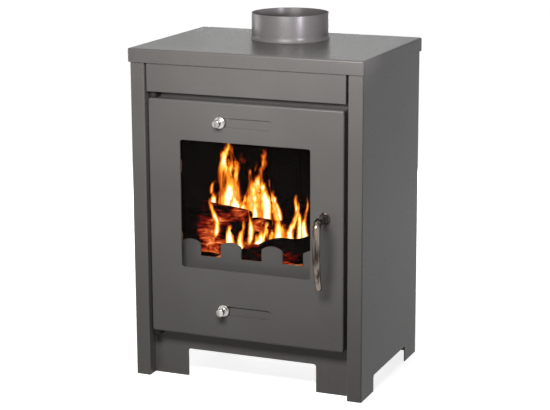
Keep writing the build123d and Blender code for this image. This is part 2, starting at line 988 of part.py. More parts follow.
os.makedirs("parts", exist_ok=True)
for name, shape in parts().items():
    export_step(shape, f"parts/{name}.step")
print("face plane at y", round(face, 3))
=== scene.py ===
"""Looks of a free-standing multi-fuel stove: a folded casing, one glazed door and a log fire behind it."""

from __future__ import annotations

import logging
import math
from dataclasses import dataclass
from enum import Enum

import bmesh
import bpy
import numpy as np
from mathutils import Matrix, Vector

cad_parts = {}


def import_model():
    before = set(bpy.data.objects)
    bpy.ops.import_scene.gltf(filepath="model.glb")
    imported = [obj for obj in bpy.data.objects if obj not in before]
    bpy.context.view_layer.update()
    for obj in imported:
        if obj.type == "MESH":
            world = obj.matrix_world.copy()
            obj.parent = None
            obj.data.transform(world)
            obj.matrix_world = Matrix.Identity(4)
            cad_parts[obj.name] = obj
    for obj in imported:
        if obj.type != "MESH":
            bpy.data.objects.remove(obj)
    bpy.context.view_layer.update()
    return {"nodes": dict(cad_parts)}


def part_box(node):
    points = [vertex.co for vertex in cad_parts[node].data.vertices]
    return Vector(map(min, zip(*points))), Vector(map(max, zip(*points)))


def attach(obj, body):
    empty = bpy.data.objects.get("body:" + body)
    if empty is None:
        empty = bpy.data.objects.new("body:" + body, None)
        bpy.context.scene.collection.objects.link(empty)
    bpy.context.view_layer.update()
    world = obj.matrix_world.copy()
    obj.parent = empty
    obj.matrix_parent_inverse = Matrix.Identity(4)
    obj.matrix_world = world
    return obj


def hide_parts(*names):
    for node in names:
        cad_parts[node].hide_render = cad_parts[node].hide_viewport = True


log = logging.getLogger("stove")

MM = 0.001

Pair = tuple[float, float]
Triple = tuple[float, float, float]
Colour = Triple
Inputs = dict[str | int, object]
Socket = bpy.types.NodeSocket
Material = bpy.types.Material
Item = bpy.types.Object

# Values between which most of a noise pattern lies, and a narrower middle part.
NOISE_SPAN: Pair = (0.3, 0.7)
NOISE_MIDDLE: Pair = (0.35, 0.65)

# Points nearer than WELD metres are joined, and edges shorter than THIN metres are taken out.
WELD = 1e-6
THIN = 1e-7

# Largest share of the shorter side at a corner that the rounding of a corner takes.
CORNER_SHARE = 0.45


class Body(Enum):
    """Bodies of the frame that a piece can ride on."""

    ROOT = "root"
    DOOR = "door"
    UPPER_SLIDER = "upper_slider"
    LOWER_SLIDER = "lower_slider"
    HANDLE = "handle"


class Graph:
    """Node graph of a material or of the surroundings, built one node at a time."""

    # Places of a Mix node's colour sockets: the two inputs and the result.
    FIRST, SECOND, MIXED = 6, 7, 2

    def __init__(self, name: str, world: bool = False) -> None:
        """Starts an empty graph.

        Args:
            name: name of the material or of the world.
            world: whether the graph is for the surroundings.
        """
        self.owner = (bpy.data.worlds if world else bpy.data.materials).new(name)
        self.owner.use_nodes = True
        self.tree = self.owner.node_tree
        self.tree.nodes.clear()
        self.output = self.add("ShaderNodeOutputWorld" if world else "ShaderNodeOutputMaterial")
        self.place = self.add("ShaderNodeTexCoord").outputs["Object"]

    def add(self, kind: str, inputs: Inputs | None = None, **settings: object) -> bpy.types.Node:
        """Adds a node.

        Args:
            kind: Blender's name for the node type.
            inputs: a plain value or a socket to link, for the name or place of each input.
            **settings: properties set on the node itself.

        Returns:
            The new node.
        """
        node = self.tree.nodes.new(kind)
        for key, value in settings.items():
            setattr(node, key, value)
        for key, value in (inputs or {}).items():
            self.feed(node.inputs[key], value)
        return node

    def feed(self, target: Socket, value: object) -> None:
        """Links a socket to an input, or sets the input to a plain value.

        Args:
            target: the input.
            value: a socket, a number or a colour of three numbers.
        """
        if isinstance(value, Socket):
            self.tree.links.new(value, target)
        elif target.type == "RGBA":
            target.default_value = (*value, 1.0)
        else:
            target.default_value = value

    def noise(self, scale: float, detail: float = 3.0, where: Socket | None = None, **more: float) -> Socket:
        """Smooth random values from 0 to 1.

        Args:
            scale: how fine the pattern is, in cells per metre.
            detail: number of finer layers.
            where: coordinates, the object's own if left out.
            **more: values for other inputs of the noise.

        Returns:
            The value socket.
        """
        wanted = {"Vector": where or self.place, "Scale": scale, "Detail": detail, **more}
        return self.add("ShaderNodeTexNoise", wanted).outputs["Fac"]

    def stretch(self, scale: Triple, where: Socket | None = None) -> Socket:
        """Coordinates, the object's own if where is left out, times a factor for each axis."""
        wanted = {"Vector": where or self.place, "Scale": scale}
        return self.add("ShaderNodeMapping", wanted).outputs["Vector"]

    def ramp(self, value: Socket, low: float, high: float, start: float = 0.0, end: float = 1.0) -> Socket:
        """Carries a range of values onto another, held at its ends.

        Args:
            value: the value to carry over.
            low: value that gives start.
            high: value that gives end.
            start: result at and under low.
            end: result at and over high.

        Returns:
            The value socket.
        """
        wanted = {"Value": value, "From Min": low, "From Max": high, "To Min": start, "To Max": end}
        return self.add("ShaderNodeMapRange", wanted).outputs["Result"]

    def blend(self, amount: object, first: object, second: object) -> Socket:
        """Mixes two colours.

        Args:
            amount: share of the second colour, a number or a socket.
            first: colour or socket at 0.
            second: colour or socket at 1.

        Returns:
            The colour socket.
        """
        wanted = {0: amount, self.FIRST: first, self.SECOND: second}
        return self.add("ShaderNodeMix", wanted, data_type="RGBA").outputs[self.MIXED]

    def join(self, kind: str, first: object, second: object, clamp: bool = True) -> Socket:
        """Joins two numbers.

        Args:
            kind: the operation, such as MULTIPLY or ADD.
            first: first number or socket.
            second: second number or socket.
            clamp: whether the result is kept between 0 and 1.

        Returns:
            The value socket.
        """
        wanted = {0: first, 1: second}
        return self.add("ShaderNodeMath", wanted, operation=kind, use_clamp=clamp).outputs[0]

    def bump(self, height: Socket, depth: float, strength: float = 1.0) -> Socket:
        """Turns a height into surface relief.

        Args:
            height: values from 0 to 1.
            depth: height of the relief in metres.
            strength: share of the relief that shows.

        Returns:
            The normal socket.
        """
        wanted = {"Height": height, "Distance": depth, "Strength": strength}
        return self.add("ShaderNodeBump", wanted).outputs["Normal"]

    def looked_at(self) -> Socket:
        """Tells rays that look at things from rays that carry light.

        Returns:
            The value socket: 1 for rays from the camera, in reflections and through glass, 0 for all others.
        """
        path = self.add("ShaderNodeLightPath").outputs
        seen = self.join("MAXIMUM", path["Is Camera Ray"], path["Is Transmission Ray"])
        return self.join("MAXIMUM", seen, path["Is Glossy Ray"])

    def surface(self, **inputs: object) -> Material:
        """Finishes the material with one Principled shader.

        Args:
            **inputs: values or sockets, with spaces in input names written as underscores.

        Returns:
            The material.
        """
        named = {key.replace("_", " "): value for key, value in inputs.items()}
        shader = self.add("ShaderNodeBsdfPrincipled", named)
        self.feed(self.output.inputs["Surface"], shader.outputs["BSDF"])
        return self.owner


@dataclass(frozen=True)
class Coat:
    """A plain hard finish with mottling, grain, scuffs and soot.

    Attributes:
        name: name of the material.
        colour: main colour.
        mottle: colour of the broad patches.
        metal: share of metallic reflection.
        smooth: roughness at its smoothest.
        rough: roughness at its roughest.
        patch: scale of the patches, in cells per metre.
        grain: scale of the grain, in cells per metre.
        relief: depth of the grain in metres.
        scuff: colour of small worn specks.
        worn: share of the surface that is scuffed.
        soot: share of soot from the noise over the whole piece.
        shine: strength of the plain reflection, 0.5 for most solids.
    """

    name: str
    colour: Colour
    mottle: Colour
    metal: float = 0.0
    smooth: float = 0.4
    rough: float = 0.55
    patch: float = 7.0
    grain: float = 900.0
    relief: float = 0.00006
    scuff: Colour = (0.3, 0.3, 0.3)
    worn: float = 0.0
    soot: float = 0.0
    shine: float = 0.5

    # Noise scale as a multiple of the patches' own, and the noise values at which specks or soot start and
    # are full.
    SPECK_SCALE, SPECK_START, SPECK_FULL = 14.0, 0.74, 0.80
    SOOT_SCALE, SOOT_START, SOOT_FULL, SOOT_SPREAD = 1.7, 0.62, 0.70, 0.3
    SOOT = (0.006, 0.0055, 0.005)

    def make(self) -> Material:
        """Builds the material: patches mix the two colours, fine noise is grain, and sharp noise is scuffs.

        Returns:
            The material.
        """
        g = Graph(self.name)
        patches = g.noise(self.patch)
        tone = g.blend(g.ramp(patches, *NOISE_MIDDLE), self.colour, self.mottle)
        sharp = g.noise(self.patch * self.SPECK_SCALE, 6.0)
        specks = g.ramp(sharp, self.SPECK_START - self.worn, self.SPECK_FULL - self.worn)
        tone = g.blend(specks, tone, self.scuff)
        if self.soot:
            smoke = g.noise(self.patch * self.SOOT_SCALE, 4.0)
            dirt = g.ramp(smoke, self.SOOT_START - self.soot, self.SOOT_FULL - self.SOOT_SPREAD * self.soot)
            tone = g.blend(dirt, tone, self.SOOT)
        return g.surface(
            Base_Color=tone,
            Metallic=self.metal,
            Specular_IOR_Level=self.shine,
            Roughness=g.ramp(patches, *NOISE_SPAN, self.smooth, self.rough),
            Normal=g.bump(g.noise(self.grain, 2.0), self.relief),
        )


@dataclass(frozen=True)
class Paint:
    """Grey heat-proof paint with fine metal flakes, a touch of orange peel and dust that settles low down.

    Attributes:
        name: name of the material.
        colour: main colour.
        shade: colour of the slow variation.
        flake: colour of the brightest flakes.
        dust: colour of the dust.
        dust_top: height in metres up to which dust lies.
        metal: share of metallic reflection.
        shine: strength of the plain reflection.
        rough: least and greatest roughness.
        relief: depth of the grain in metres.
    """

    name: str = "grey_stove_paint"
    colour: Colour = (0.128, 0.124, 0.119)
    shade: Colour = (0.108, 0.103, 0.101)
    flake: Colour = (0.20, 0.19, 0.185)
    dust: Colour = (0.16, 0.145, 0.13)
    dust_top: float = 0.12
    metal: float = 0.13
    shine: float = 0.10
    rough: Pair = (0.27, 0.34)
    relief: float = 0.00008

    # Noise scales, how much flakes and dust show, and the shares of flakes and peel in the relief.
    SHADE_SCALE, FLAKE_SCALE, PEEL_SCALE, DUST_SCALE = 5.0, 1800.0, 260.0, 40.0
    FLAKES = (0.56, 0.74, 0.0, 0.55)
    DUST, DUSTIEST = (0.4, 0.7), 0.35
    FLAKE_RELIEF, PEEL_RELIEF = 0.35, 0.65

    def make(self) -> Material:
        """Builds the material: slow noise shades the paint, very fine noise is flakes, and height adds dust.

        Returns:
            The material.
        """
        g = Graph(self.name)
        flakes = g.noise(self.FLAKE_SCALE, 1.0)
        peel = g.noise(self.PEEL_SCALE, 2.0)
        tone = g.blend(g.ramp(g.noise(self.SHADE_SCALE), *NOISE_SPAN), self.colour, self.shade)
        tone = g.blend(g.ramp(flakes, *self.FLAKES), tone, self.flake)
        height = g.add("ShaderNodeSeparateXYZ", {"Vector": g.place}).outputs["Z"]
        low = g.ramp(height, 0.0, self.dust_top, self.DUSTIEST, 0.0)
        dust = g.join("MULTIPLY", low, g.ramp(g.noise(self.DUST_SCALE, 5.0), *self.DUST))
        fine = g.join("MULTIPLY", flakes, self.FLAKE_RELIEF)
        relief = g.join("ADD", fine, g.join("MULTIPLY", peel, self.PEEL_RELIEF))
        return g.surface(
            Base_Color=g.blend(dust, tone, self.dust),
            Metallic=self.metal,
            Specular_IOR_Level=self.shine,
            Roughness=g.ramp(peel, *NOISE_SPAN, *self.rough),
            Normal=g.bump(relief, self.relief),
        )


@dataclass(frozen=True)
class PolishedMetal:
    """Polished metal with faint drawn lines and long dark streaks that stand in for reflections (painted
    reflection).

    Attributes:
        name: name of the material.
        colour: colour of its reflections; the default is dark and brown to stand in for dark surroundings
            mirrored in the handle (painted reflection).
        reflection_streak: colour of the long dark streaks that stand in for reflections (painted reflection).
        rough: least and greatest roughness.
        relief: depth of the drawn lines in metres.
    """

    name: str = "polished_chrome"
    colour: Colour = (0.27, 0.23, 0.20)
    reflection_streak: Colour = (0.045, 0.034, 0.028)
    rough: Pair = (0.10, 0.20)
    relief: float = 0.000004

    # Stretch of the drawn lines and of the painted reflection streaks, the streaks' scale, and the noise
    # range that turns into streak colour.
    LINES, PATCHES = (900.0, 900.0, 20.0), (1.0, 1.0, 0.18)
    STREAK_SCALE = 110.0
    STREAKED = (0.38, 0.6)

    def make(self) -> Material:
        """Builds the material: noise drawn out upward gives fine lines, and broad noise drawn out upward
        gives dark streaks, a painted reflection.

        Returns:
            The material.
        """
        g = Graph(self.name)
        lines = g.noise(1.0, 2.0, g.stretch(self.LINES))
        # Painted reflection: this broad noise is drawn out upright into dark streaks that stand in for
        # reflections.
        patches = g.noise(self.STREAK_SCALE, 2.0, g.stretch(self.PATCHES))
        return g.surface(
            Base_Color=g.blend(g.ramp(patches, *self.STREAKED), self.colour, self.reflection_streak),
            Metallic=1.0,
            Roughness=g.ramp(patches, *NOISE_SPAN, *self.rough),
            Normal=g.bump(lines, self.relief),
        )


@dataclass(frozen=True)
class Glass:
    """Clear ceramic glass with a faint brown film that lies in slow smears.

    Attributes:
        name: name of the material.
        colour: colour of the film where it is thin.
        smear: colour of the film where it is thick.
        cover: share of the view that the pane hides.
        rough: least and greatest roughness.
        relief: depth of the smears in metres.
    """

    name: str = "ceramic_glass"
    colour: Colour = (0.010, 0.009, 0.008)
    smear: Colour = (0.016, 0.013, 0.010)
    cover: float = 0.04
    rough: Pair = (0.03, 0.10)
    relief: float = 0.00002

    SMEAR_SCALE, SMEARED = 18.0, (0.45, 0.7)

    def make(self) -> Material:
        """Builds the material: a thin dark film whose roughness follows a slow smear pattern.

        Returns:
            The material.
        """
        g = Graph(self.name)
        smears = g.noise(self.SMEAR_SCALE, 4.0)
        return g.surface(
            Base_Color=g.blend(g.ramp(smears, *self.SMEARED), self.colour, self.smear),
            Roughness=g.ramp(smears, *NOISE_SPAN, *self.rough),
            Normal=g.bump(smears, self.relief),
            Alpha=self.cover,
        )


@dataclass(frozen=True)
class Rope:
    """Grey glass-fibre rope with a woven cover that soot has darkened.

    Attributes:
        name: name of the material.
        colour: clean colour.
        dark_tone: darker colour, used for the soot stains and between the strands.
        rough: roughness between the strands and on them.
        relief: depth of the weave in metres.
    """

    name: str = "seal_rope"
    colour: Colour = (0.20, 0.19, 0.17)
    dark_tone: Colour = (0.05, 0.046, 0.042)
    rough: Pair = (0.95, 0.85)
    relief: float = 0.0006

    STAIN_SCALE, STAINS = 30.0, (0.4, 0.6)

    def make(self) -> Material:
        """Builds the material: two crossed sets of bands on the UV map give the weave, which is darker
        between the strands.

        Returns:
            The material.
        """
        g = Graph(self.name)
        uv = g.add("ShaderNodeTexCoord").outputs["UV"]
        bands = []
        for where in (uv, g.stretch((-1.0, 1.0, 1.0), uv)):
            wanted = {"Vector": where, "Scale": 1.0, "Distortion": 0.0}
            bands.append(g.add("ShaderNodeTexWave", wanted, bands_direction="DIAGONAL").outputs["Fac"])
        weave = g.join("MAXIMUM", *bands)
        tone = g.blend(g.ramp(g.noise(self.STAIN_SCALE), *self.STAINS), self.colour, self.dark_tone)
        return g.surface(
            Base_Color=g.blend(weave, self.dark_tone, tone),
            Roughness=g.ramp(weave, 0.0, 1.0, *self.rough),
            Normal=g.bump(weave, self.relief),
        )


@dataclass(frozen=True)
class BurningWood:
    """Charred wood that glows in ragged patches and turns to pale ash in places.

    Attributes:
        name: name of the material.
        char: colour of the char.
        ash: colour of the ash.
        ember: colour of the dull glow.
        glow: colour of the hot spots.
        white: colour of the hottest spots.
        heat: share of the surface that glows, from 0 to 1.
        light: strength of the glow.
        relief: depth of the cracks in metres.
    """

    name: str
    char: Colour = (0.002, 0.0015, 0.0013)
    ash: Colour = (0.012, 0.0075, 0.006)
    ember: Colour = (0.55, 0.012, 0.003)
    glow: Colour = (1.0, 0.20, 0.035)
    white: Colour = (1.0, 0.58, 0.30)
    heat: float = 0.3
    light: float = 1.05
    relief: float = 0.006

    # Stretch and settings of the torn noise, and the shares of the slow and the torn noise in the pattern.
    GRAIN, TORN = (0.55, 0.55, 1.5), {"Roughness": 0.68, "Distortion": 1.4}
    SLOW_SCALE, TORN_SCALE, ASH_SCALE = 14.0, 62.0, 24.0
    SLOW_SHARE, TORN_SHARE = 0.42, 0.78
    SLOW, ASHES, ASH_GRAIN = (0.34, 0.68), (0.52, 0.70), (0.4, 0.6)
    # Pattern level of cold wood, how far full heat lowers it, and the spans over that level in which ember
    # turns to glow, glow turns to white and the light comes up.
    COLD, WARMING = 0.80, 0.32
    SPANS = ((0.0, 0.13), (0.12, 0.26), (-0.07, 0.14))
    ROUGH = (0.80, 0.96)

    def make(self) -> Material:
        """Builds the material.

        Slow noise says where the wood is hot, and fine rough noise drawn out sideways tears that heat into
        patches, dull red at their edges and pale orange in the middle.

        Returns:
            The material.
        """
        g = Graph(self.name)
        slow = g.ramp(g.noise(self.SLOW_SCALE), *self.SLOW)
        torn = g.noise(self.TORN_SCALE, 9.0, g.stretch(self.GRAIN), **self.TORN)
        both = g.join("MULTIPLY", slow, self.SLOW_SHARE)
        both = g.join("ADD", both, g.join("MULTIPLY", torn, self.TORN_SHARE))
        level = self.COLD - self.WARMING * self.heat
        hot, white, lit = (g.ramp(both, level + low, level + high) for low, high in self.SPANS)
        ashy = g.ramp(g.noise(self.ASH_SCALE, 6.0), *self.ASHES)
        ashy = g.join("MULTIPLY", ashy, g.ramp(torn, *self.ASH_GRAIN))
        return g.surface(
            Base_Color=g.blend(ashy, self.char, self.ash),
            Specular_IOR_Level=0.0,
            Roughness=g.ramp(ashy, 0.0, 1.0, *self.ROUGH),
            Normal=g.bump(torn, self.relief),
            Emission_Color=g.blend(white, g.blend(hot, self.ember, self.glow), self.white),
            Emission_Strength=g.join("MULTIPLY", lit, self.light, clamp=False),
        )


@dataclass(frozen=True)
class FlameLight:
    """Light of a flame, brightest and palest along its core and red at its torn edges.

    Attributes:
        name: name of the material.
        edge: colour of the thin edge.
        body: colour round the core.
        core: colour of the core.
        pale: colour of the hottest part of the core.
        light: strength at the edge and in the core.
    """

    name: str = "flame"
    edge: Colour = (0.42, 0.030, 0.002)
    body: Colour = (1.0, 0.21, 0.008)
    core: Colour = (1.0, 0.60, 0.07)
    pale: Colour = (1.0, 0.92, 0.66)
    light: Pair = (1.1, 1.9)

    # Stretch and scales of the noise, the width of its sideways push, and the heat lost by the top.
    RISE, SWAY_SCALE, SHRED_SCALE = (1.0, 1.0, 0.36), 26.0, 44.0
    SHRED = {"Roughness": 0.6, "Distortion": 0.8}
    PUSH, COOLING = 1.2, 0.52
    # Ramps: heat over the half width and heat lost at the foot, heat torn away by noise and by height, the
    # fades at the left, the lower and the far edges of the sheet, and cover and brightness by heat.
    WIDTH, FOOT = (0.02, 0.44, 1.0, 0.0), (0.0, 0.15, 0.45, 0.0)
    TORN, TORN_UP = (0.34, 0.74, 0.0, 0.80), (0.0, 0.55, 0.30, 1.0)
    LEFT, LOWER, FAR = (0.0, 0.14), (0.0, 0.10), (0.86, 1.0, 1.0, 0.0)
    COVER, SHINE = (0.0, 0.30), (0.10, 0.70)
    # Heats over which the edge's colour turns to the body's, the body's to the core's and that to pale.
    TURNS = ((0.06, 0.26), (0.24, 0.42), (0.42, 0.60))

    def make(self) -> Material:
        """Builds the material.

        The UV map gives the place across (0 to 1) and up (0 to 1) the sheet. Noise drawn out upward shifts
        the place across, more so higher up. What is left of the half width there, less torn noise, a share
        of the height and a loss at the foot, is the heat that sets colour and cover. The sheet's own edges
        fade.

        Returns:
            The material.
        """
        g = Graph(self.name)
        uv = g.add("ShaderNodeTexCoord").outputs["UV"]
        across, height, _ = g.add("ShaderNodeSeparateXYZ", {"Vector": uv}).outputs
        drawn = g.stretch(self.RISE)
        sway = g.noise(self.SWAY_SCALE, 3.0, drawn)
        shred = g.noise(self.SHRED_SCALE, 4.0, drawn, **self.SHRED)
        centred = {0: sway, 1: self.PUSH, 2: -self.PUSH / 2}
        pushed = g.add("ShaderNodeMath", centred, operation="MULTIPLY_ADD").outputs[0]
        swing = g.join("MULTIPLY", pushed, height, clamp=False)
        off = g.join("SUBTRACT", g.join("ADD", across, swing, clamp=False), 0.5, clamp=False)
        inside = g.ramp(g.join("ABSOLUTE", off, 0.0, clamp=False), *self.WIDTH)
        torn = g.join("MULTIPLY", g.ramp(shred, *self.TORN), g.ramp(height, *self.TORN_UP))
        heat = g.join("SUBTRACT", inside, torn)
        heat = g.join("SUBTRACT", heat, g.join("MULTIPLY", height, self.COOLING, clamp=False))
        heat = g.join("SUBTRACT", heat, g.ramp(height, *self.FOOT))
        sides = g.join("MULTIPLY", g.ramp(across, *self.FAR), g.ramp(across, *self.LEFT))
        ends = g.join("MULTIPLY", g.ramp(height, *self.LOWER), g.ramp(height, *self.FAR))
        cover = g.join("MULTIPLY", g.ramp(heat, *self.COVER), g.join("MULTIPLY", sides, ends))
        tone = self.edge
        for span, colour in zip(self.TURNS, (self.body, self.core, self.pale)):
            tone = g.blend(g.ramp(heat, *span), tone, colour)
        return g.surface(
            Base_Color=(0.0, 0.0, 0.0),
            Roughness=1.0,
            Specular_IOR_Level=0.0,
            Emission_Color=tone,
            Emission_Strength=g.ramp(heat, *self.SHINE, *self.light),
            Alpha=cover,
        )


def grid_faces(rows: int, columns: int, wrap_rows: bool = False, wrap_columns: bool = True) -> np.ndarray:
    """Four-sided faces over a grid of points.

    Args:
        rows: number of rows.
        columns: number of points in a row.
        wrap_rows: whether the last row joins the first.
        wrap_columns: whether the last point of a row joins its first.

    Returns:
        One row of four point numbers for each face.
    """
    row = np.arange(rows if wrap_rows else rows - 1)[:, None]
    column = np.arange(columns if wrap_columns else columns - 1)[None, :]
    next_row = (row + 1) % rows
    next_column = (column + 1) % columns
    corners = (row * columns + column, row * columns + next_column,
               next_row * columns + next_column, next_row * columns + column)
    return np.stack([np.broadcast_to(c, (row.size, column.size)) for c in corners], -1).reshape(-1, 4)


def build(name: str, points: np.ndarray, faces: np.ndarray, material: Material,
          uv: np.ndarray | None = None, weld: bool = True) -> Item:
    """Makes a smooth object from points and faces, with normals that point outward.

    Args:
        name: name of the object.
        points: places in metres, one row each.
        faces: point numbers, one row for each face.
        material: finish of the whole piece.
        uv: place on the pattern for each point, if a pattern follows the surface.
        weld: whether points in the same place are joined, which closes poles.

    Returns:
        The new object, linked to the scene.
    """
    mesh = bpy.data.meshes.new(name)
    mesh.from_pydata(points.reshape(-1, 3).tolist(), [], faces.tolist())
    if uv is not None:
        layer = mesh.uv_layers.new(name="UVMap")
        layer.data.foreach_set("uv", uv.reshape(-1, 2)[faces.reshape(-1)].astype(np.float32).ravel())
    mesh.materials.append(material)
    item = bpy.data.objects.new(name, mesh)
    bpy.context.scene.collection.objects.link(item)
    if weld:
        shell = bmesh.new()
        shell.from_mesh(mesh)
        bmesh.ops.remove_doubles(shell, verts=shell.verts, dist=WELD)
        bmesh.ops.dissolve_degenerate(shell, edges=shell.edges, dist=THIN)
        bmesh.ops.recalc_face_normals(shell, faces=shell.faces)
        shell.to_mesh(mesh)
        shell.free()
    mesh.polygons.foreach_set("use_smooth", np.ones(len(mesh.polygons), bool))
    log.info("%s: %d faces", name, len(mesh.polygons))
    return item


def rounded(corners: list[Pair], radius: float, steps: int = 5, loop: bool = False) -> np.ndarray:
    """Line through corners, each one eased by a short quadratic curve.

    Args:
        corners: the corners, in order.
        radius: distance from a corner at which its curve starts, up to CORNER_SHARE of the shorter side.
        steps: points along each curve.
        loop: whether the line closes on itself.

    Returns:
        The points of the line, one row each.
    """
    line = np.asarray(corners, float)
    before = np.roll(line, 1, axis=0) - line
    after = np.roll(line, -1, axis=0) - line
    reach_before = np.linalg.norm(before, axis=1, keepdims=True)
    reach_after = np.linalg.norm(after, axis=1, keepdims=True)
    cut = np.minimum(radius, CORNER_SHARE * np.minimum(reach_before, reach_after))
    start = line + before / reach_before * cut
    end = line + after / reach_after * cut
    t = np.linspace(0.0, 1.0, steps)[None, :, None]
    curve = (1 - t) ** 2 * start[:, None] + 2 * t * (1 - t) * line[:, None] + t**2 * end[:, None]
    if loop:
        return curve.reshape(-1, line.shape[1])
    return np.concatenate([line[:1], curve[1:-1].reshape(-1, line.shape[1]), line[-1:]])


def lathe(name: str, centre: Vector, axis: Vector, profile: np.ndarray, material: Material,
          loop: bool = False, segments: int = 72) -> Item:
    """Turned piece: each profile point goes round at centre + along * axis + radius * (cos u, sin u).

    Args:
        name: name of the piece.
        centre: start of the axis.
        axis: direction of the axis.
        profile: radius and distance along the axis, one row for each point.
        material: finish of the piece.
        loop: whether the profile closes on itself, as on a ring.
        segments: number of steps round the axis.

    Returns:
        The turned object.
    """
    turn = axis.to_track_quat("Z", "Y").to_matrix()
    side, up, ahead = (np.array(turn.col[i]) for i in range(3))
    u = np.linspace(0.0, 2.0 * math.pi, segments, endpoint=False)
    ring = np.cos(u)[:, None] * side + np.sin(u)[:, None] * up
    points = np.array(centre) + profile[:, 1, None, None] * ahead + profile[:, 0, None, None] * ring[None]
    faces = grid_faces(len(profile), segments, wrap_rows=loop)
    return build(name, points, faces, material)


def along(path: np.ndarray, loop: bool = False) -> tuple[np.ndarray, np.ndarray]:
    """Direction and travelled length at each point of a path.

    Args:
        path: points of the path.
        loop: whether the path closes on itself.

    Returns:
        The unit directions and the lengths from the start.
    """
    ahead = np.roll(path, -1, axis=0) - np.roll(path, 1, axis=0)
    if not loop:
        ahead[0] = path[1] - path[0]
        ahead[-1] = path[-1] - path[-2]
    steps = np.linalg.norm(np.diff(path, axis=0), axis=1)
    return ahead / np.linalg.norm(ahead, axis=1, keepdims=True), np.concatenate([[0.0], np.cumsum(steps)])


def tube(name: str, path: np.ndarray, flat: Vector, radius: np.ndarray, material: Material,
         loop: bool = False, turns: tuple[float, float] = (1.0, 1.0)) -> Item:
    """Bar along a path in one plane: a circle of changing radius stands square to the path at each point.

    Args:
        name: name of the piece.
        path: points of the path in metres.
        flat: direction square to the plane of the path.
        radius: radius for each path point, or one row of radii round the bar for each.
        material: finish of the piece.
        loop: whether the path closes on itself.
        turns: pattern repeats round the bar, and per metre along it.

    Returns:
        The bar as an object.
    """
    ahead, length = along(path, loop)
    first = np.broadcast_to(np.array(flat.normalized()), ahead.shape)
    second = np.cross(ahead, first)
    columns = radius.shape[1] if radius.ndim == 2 else 48
    around = np.broadcast_to(radius.reshape(len(path), -1), (len(path), columns))
    u = np.linspace(0.0, 2.0 * math.pi, columns, endpoint=False)
    rim = np.cos(u)[None, :, None] * first[:, None] + np.sin(u)[None, :, None] * second[:, None]
    points = path[:, None] + around[:, :, None] * rim
    share = np.broadcast_to(u[None, :] / (2.0 * math.pi) * turns[0], around.shape)
    up = np.broadcast_to(length[:, None] * turns[1], around.shape)
    faces = grid_faces(len(path), columns, wrap_rows=loop)
    return build(name, points, faces, material, uv=np.stack([share, up], -1))


@dataclass(frozen=True)
class FlueCollar:
    """Round spigot on the top plate, with softened edges.

    Attributes:
        wall: thickness of the pipe in metres.
        neck: how far the pipe draws in under the top plate.
        ledge: how far the flange stands out from the pipe.
        edge: rounding of the edges.
        flare: how far the pipe spreads where it meets the top plate.
        rise: height over which it spreads.
    """

    wall: float = 2 * MM
    neck: float = 1 * MM
    ledge: float = 6 * MM
    edge: float = 0.9 * MM
    flare: float = 2.2 * MM
    rise: float = 9 * MM

    SEGMENTS = 128

    def make(self, paint: Material) -> None:
        """Turns the collar about its upright axis: over the rise its radius is pipe + flare * (1 - t)^2.

        Args:
            paint: finish of the collar.
        """
        low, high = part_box("flue_collar")
        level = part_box("top_plate")[1].z
        flange = (high.x - low.x) / 2
        pipe = flange - self.ledge
        foot = [(pipe + self.flare * (1 - t) ** 2, level + self.rise * t) for t in np.linspace(0, 1, 4)]
        corners = [
            (pipe - self.wall, low.z), (flange, low.z), (flange, low.z + self.wall),
            (pipe - self.neck, low.z + self.wall), (pipe - self.neck, level), *foot,
            (pipe, high.z), (pipe - self.wall, high.z),
        ]
        profile = rounded(corners, self.edge, loop=True)
        centre = Vector(((low.x + high.x) / 2, (low.y + high.y) / 2, 0.0))
        upright = Vector((0, 0, 1))
        piece = lathe(
            "flue_collar_turned", centre, upright, profile, paint, loop=True, segments=self.SEGMENTS
        )
        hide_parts("flue_collar")
        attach(piece, Body.ROOT.value)


@dataclass(frozen=True)
class SliderKnob:
    """Turned knob with a wide foot, a waisted neck and a thick tip.

    Attributes:
        foot: radius of the foot in metres.
        neck: radius of the neck.
        tip: radius of the tip.
        stud: radius of the stud in the slot.
        tip_length: length of the tip.
        foot_height: thickness of the foot.
        step: height of the small steps on the foot.
        slope: how far the tip's slope reaches on either side of its shoulder.
        edge: rounding of the edges.
    """

    foot: float = 11.2 * MM
    neck: float = 4.6 * MM
    tip: float = 7.1 * MM
    stud: float = 3 * MM
    tip_length: float = 9 * MM
    foot_height: float = 3.3 * MM
    step: float = 0.3 * MM
    slope: Pair = (0.4 * MM, 0.6 * MM)
    edge: float = 1.3 * MM

    def make(self, node: str, body: Body, metal: Material) -> None:
        """Turns the knob about the axis of its frame node.

        Args:
            node: frame node that the knob stands for.
            body: body that carries the knob.
            metal: finish of the knob.
        """
        low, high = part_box(node)
        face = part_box("door_panel")[0].y
        out = face - low.y
        shoulder = out - self.tip_length
        corners = [
            (0.0, face - high.y), (self.stud, face - high.y), (self.stud, self.step), (self.foot, self.step),
            (self.foot, self.foot_height), (1.5 * self.neck, self.foot_height + self.step),
            (self.neck, 0.5 * shoulder), (self.neck, shoulder - self.slope[0]),
            (self.tip, shoulder + self.slope[1]), (self.tip, out), (0.0, out),
        ]
        profile = rounded(corners, self.edge)
        centre = Vector(((low.x + high.x) / 2, face, (low.z + high.z) / 2))
        piece = lathe(node + "_turned", centre, Vector((0, -1, 0)), profile, metal)
        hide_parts(node)
        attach(piece, body.value)


